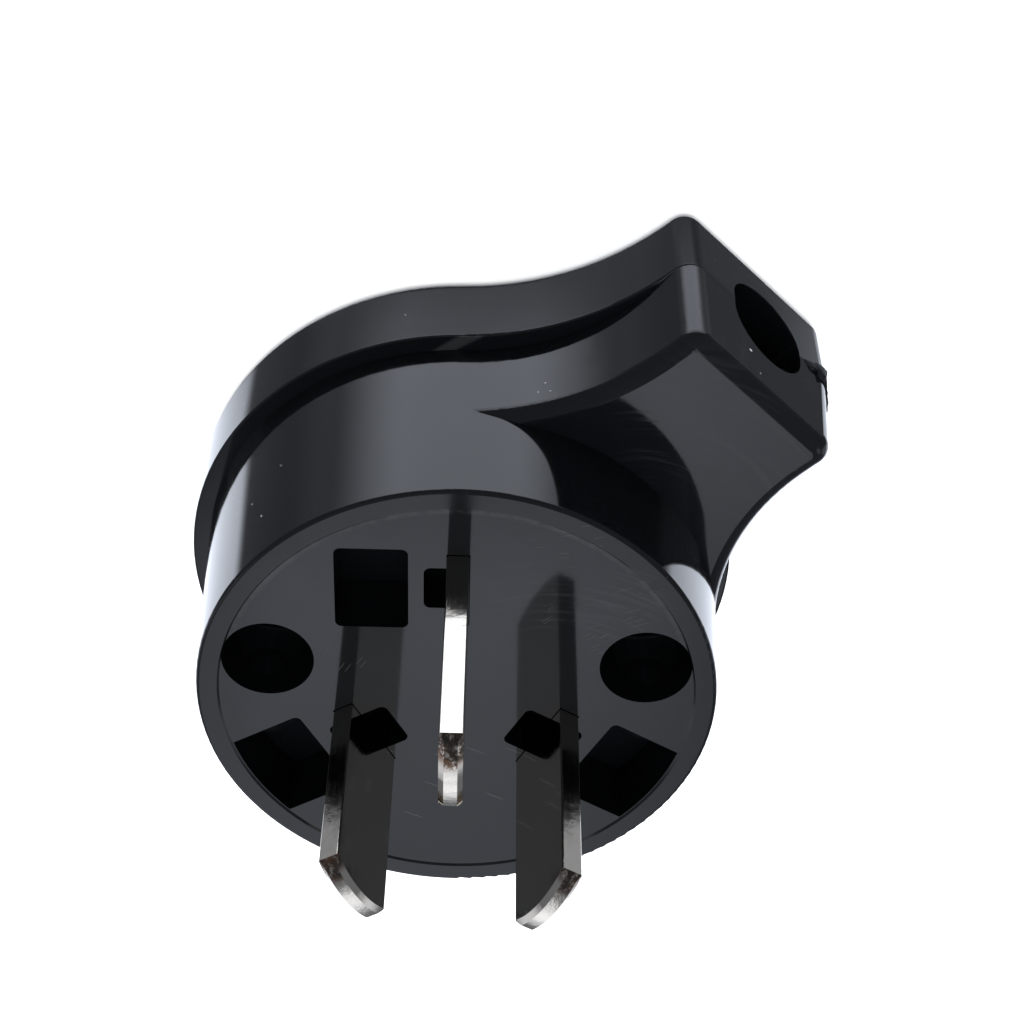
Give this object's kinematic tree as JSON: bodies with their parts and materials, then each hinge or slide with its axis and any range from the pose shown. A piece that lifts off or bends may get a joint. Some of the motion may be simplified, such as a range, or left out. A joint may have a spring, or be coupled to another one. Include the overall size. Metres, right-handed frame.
{
  "type": "type i plug",
  "caption": "Round rewireable mains plug with flat slanted blades, a flanged back cover and a short neck for the cord.",
  "frame": {"origin": "on the common axis of the pins, in the flat back face of the cover", "axes": "+Z towards the pin tips, +Y from the axis towards the earth pin, +X to the neutral side"},
  "size_m": [0.0486, 0.0494, 0.0432],
  "materials": {
    "housing_plastic": "glossy black moulded plastic with fine scratches",
    "cover_plastic": "glossy black moulded plastic",
    "blade_nickel": "nickel plated brass, bright, with sheared edges",
    "screw_steel": "zinc plated steel",
    "insert_brass": "turned brass",
    "clamp_plastic": "black moulded plastic"
  },
  "bodies": {
    "root": {"base_housing": "housing_plastic", "cover": "cover_plastic", "cord_clamp": "clamp_plastic", "active_blade": "blade_nickel", "active_terminal_screw": "screw_steel", "active_spring_washer": "screw_steel", "active_clamp_washer": "screw_steel", "neutral_blade": "blade_nickel", "neutral_terminal_screw": "screw_steel", "neutral_spring_washer": "screw_steel", "neutral_clamp_washer": "screw_steel", "earth_blade": "blade_nickel", "earth_terminal_screw": "screw_steel", "earth_spring_washer": "screw_steel", "earth_clamp_washer": "screw_steel", "cover_screw_left": "screw_steel", "cover_insert_left": "insert_brass", "cord_clamp_screw_left": "screw_steel", "cover_screw_right": "screw_steel", "cover_insert_right": "insert_brass", "cord_clamp_screw_right": "screw_steel"}
  },
  "joints": []
}
